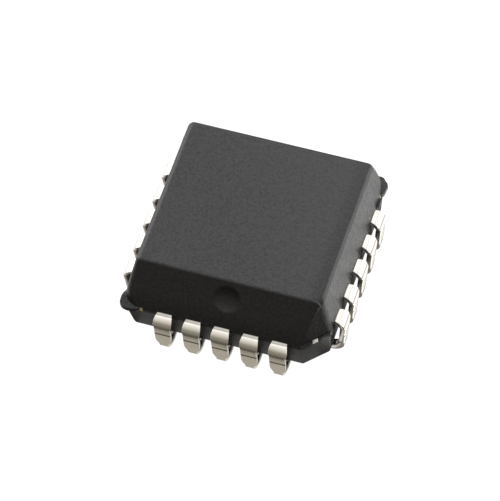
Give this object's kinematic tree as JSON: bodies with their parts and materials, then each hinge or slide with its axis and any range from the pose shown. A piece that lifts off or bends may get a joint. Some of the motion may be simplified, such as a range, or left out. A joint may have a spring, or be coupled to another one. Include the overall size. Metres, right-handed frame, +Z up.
{
  "type": "plastic leaded chip carrier",
  "caption": "Square moulded chip carrier with J-shaped leads curled under all four sides, a bevelled index side with a round dimple and a cut corner.",
  "frame": {"origin": "middle of the seating plane, under the lead bends", "axes": "+Z up out of the top face, -Y towards the bevelled index side with the dimple, +X towards the side after the cut corner"},
  "size_m": [0.01, 0.01, 0.0044],
  "materials": {
    "mould_compound": "fine spark-eroded matt",
    "tinned_lead": "satin tin plate",
    "copper_paddle": "bare copper alloy with cut tie bars",
    "attach_epoxy": "silver-filled epoxy",
    "silicon": "polished silicon",
    "gold_wire": "bright gold"
  },
  "bodies": {
    "root": {"body": "mould_compound", "lead_01": "tinned_lead", "lead_02": "tinned_lead", "lead_03": "tinned_lead", "lead_04": "tinned_lead", "lead_05": "tinned_lead", "lead_06": "tinned_lead", "lead_07": "tinned_lead", "lead_08": "tinned_lead", "lead_09": "tinned_lead", "lead_10": "tinned_lead", "lead_11": "tinned_lead", "lead_12": "tinned_lead", "lead_13": "tinned_lead", "lead_14": "tinned_lead", "lead_15": "tinned_lead", "lead_16": "tinned_lead", "lead_17": "tinned_lead", "lead_18": "tinned_lead", "lead_19": "tinned_lead", "lead_20": "tinned_lead", "die_paddle": "copper_paddle", "die_attach": "attach_epoxy", "die": "silicon", "bond_wire_01": "gold_wire", "bond_wire_02": "gold_wire", "bond_wire_03": "gold_wire", "bond_wire_04": "gold_wire", "bond_wire_05": "gold_wire", "bond_wire_06": "gold_wire", "bond_wire_07": "gold_wire", "bond_wire_08": "gold_wire", "bond_wire_09": "gold_wire", "bond_wire_10": "gold_wire", "bond_wire_11": "gold_wire", "bond_wire_12": "gold_wire", "bond_wire_13": "gold_wire", "bond_wire_14": "gold_wire", "bond_wire_15": "gold_wire", "bond_wire_16": "gold_wire", "bond_wire_17": "gold_wire", "bond_wire_18": "gold_wire", "bond_wire_19": "gold_wire", "bond_wire_20": "gold_wire"}
  },
  "joints": []
}
